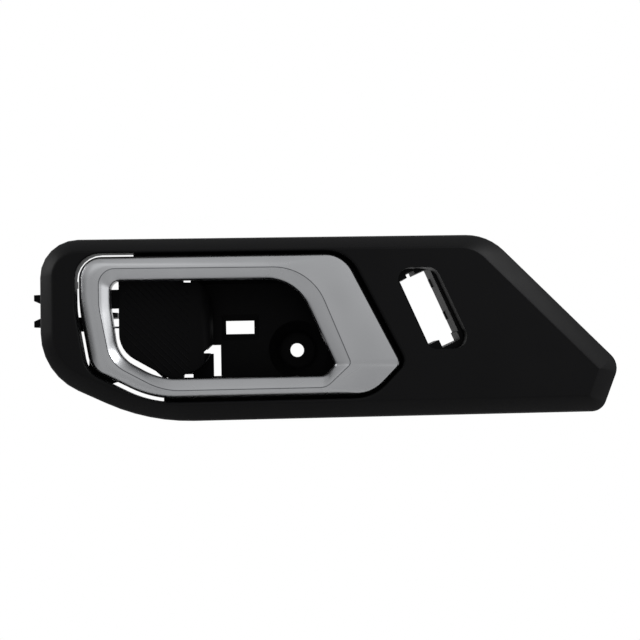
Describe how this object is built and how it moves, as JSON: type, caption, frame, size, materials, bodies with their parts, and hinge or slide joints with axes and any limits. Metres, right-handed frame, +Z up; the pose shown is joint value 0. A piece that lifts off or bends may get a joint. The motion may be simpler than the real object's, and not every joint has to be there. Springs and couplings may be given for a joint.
{
  "type": "car interior door handle",
  "caption": "Interior door release: a satin-chrome ring lever on a black escutcheon with a finger bowl and a slanted switch opening.",
  "frame": {"origin": "axis of the fixing screw at the rear face of its tower", "axes": "+X along the door towards the switch opening, +Z up, +Y into the door; the cabin is at -Y"},
  "size_m": [0.261, 0.0449, 0.08],
  "materials": {
    "black_plastic": "fine matt grain",
    "bowl_plastic": "fine matt grain, hatched thumb pad",
    "satin_chrome": "satin",
    "core_plastic": "satin",
    "pin_steel": "ground",
    "spring_steel": "zinc plated",
    "screw_steel": "black zinc",
    "black_rubber": "matt"
  },
  "bodies": {
    "housing": {"bezel": "black_plastic", "finger_bowl": "bowl_plastic", "hinge_pin": "pin_steel", "pin_retainer": "spring_steel", "return_spring": "spring_steel", "rest_bumper_upper": "black_rubber", "rest_bumper_lower": "black_rubber", "open_stop_pad": "black_rubber", "bowl_screw_1": "screw_steel", "bowl_screw_2": "screw_steel", "bowl_screw_3": "screw_steel", "bowl_screw_4": "screw_steel", "panel_clip_1": "spring_steel", "panel_clip_2": "spring_steel", "panel_clip_3": "spring_steel", "panel_clip_4": "spring_steel"},
    "lever": {"lever_shell": "satin_chrome", "lever_core": "core_plastic", "shell_screw_1": "screw_steel", "shell_screw_2": "screw_steel", "shell_screw_3": "screw_steel", "shell_screw_4": "screw_steel"}
  },
  "joints": [
    {"name": "lever_hinge", "type": "hinge", "parent": "housing", "child": "lever", "pos_m": [-0.0865, -0.03, 0.012], "axis": [0, 0, -1], "range_deg": [0, 38], "stiffness_Nm_per_rad": 0.3, "springref_deg": -40.11}
  ]
}
